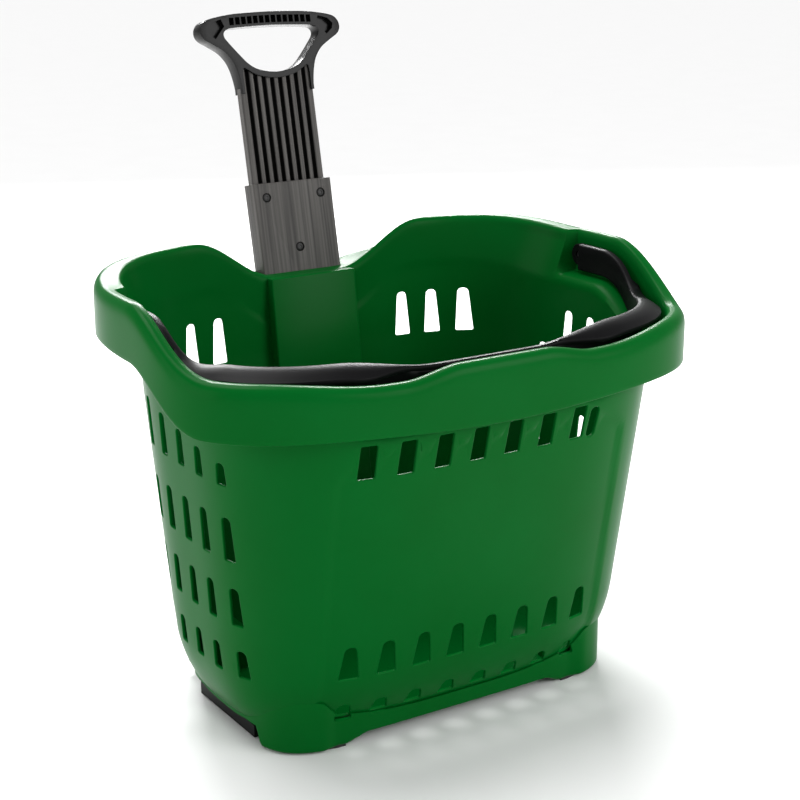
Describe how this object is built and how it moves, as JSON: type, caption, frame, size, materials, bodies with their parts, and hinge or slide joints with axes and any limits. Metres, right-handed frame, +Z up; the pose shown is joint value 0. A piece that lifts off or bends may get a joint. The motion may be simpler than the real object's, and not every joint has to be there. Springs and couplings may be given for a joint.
{
  "type": "shopping basket",
  "caption": "Rolling shopping basket: slotted tapered tub with a wavy skirted rim, a fold-down bail, a two-stage pull handle in a back duct, front feet and rear wheels.",
  "frame": {"origin": "middle of the whole basket's footprint box, on the floor", "axes": "+X along the long side, to the right seen from the front; -Y is the front; +Z is up; the pull handle is at the +Y side"},
  "size_m": [0.546, 0.4306, 0.6262],
  "materials": {
    "body_plastic": "satin moulded",
    "handle_plastic": "streaked moulded",
    "black_plastic": "fine grain",
    "fastener_steel": "zinc plated",
    "hub_plastic": "moulded",
    "tread": "smooth rubber",
    "pad_rubber": "smooth rubber"
  },
  "bodies": {
    "basket": {"basket_body": "body_plastic", "duct_cover": "black_plastic", "duct_cover_screws": "fastener_steel", "bail_pin_left": "fastener_steel", "bail_pin_right": "fastener_steel", "wheel_carrier_left": "black_plastic", "wheel_carrier_right": "black_plastic", "carrier_screws": "fastener_steel", "axles": "fastener_steel", "wheel_washers": "fastener_steel", "foot_pads": "pad_rubber", "foot_pad_studs": "fastener_steel"},
    "sleeve": {"outer_sleeve": "handle_plastic", "sleeve_screws": "fastener_steel", "guide_pads": "black_plastic", "sleeve_stop": "black_plastic"},
    "pull": {"pull_handle": "handle_plastic", "blade_stop": "black_plastic", "blade_rivets": "fastener_steel"},
    "bail": {"bail_handle": "black_plastic"},
    "wheel_left": {"wheel_hub_left": "hub_plastic", "tyre_left": "tread"},
    "wheel_right": {"wheel_hub_right": "hub_plastic", "tyre_right": "tread"}
  },
  "joints": [
    {"name": "sleeve_slide", "type": "slide", "parent": "basket", "child": "sleeve", "axis": [0, -0.2171, -0.9761], "range_m": [0, 0.085]},
    {"name": "handle_slide", "type": "slide", "parent": "sleeve", "child": "pull", "axis": [0, -0.2171, -0.9761], "range_m": [0, 0.089]},
    {"name": "bail_fold", "type": "hinge", "parent": "basket", "child": "bail", "pos_m": [0, 0.00274, 0.386], "axis": [-1, 0, 0], "range_deg": [0, 95]},
    {"name": "wheel_left_spin", "type": "hinge", "parent": "basket", "child": "wheel_left", "pos_m": [-0.15, 0.06174, 0.022], "axis": [1, 0, 0], "continuous": true},
    {"name": "wheel_right_spin", "type": "hinge", "parent": "basket", "child": "wheel_right", "pos_m": [0.15, 0.06174, 0.022], "axis": [1, 0, 0], "continuous": true}
  ]
}
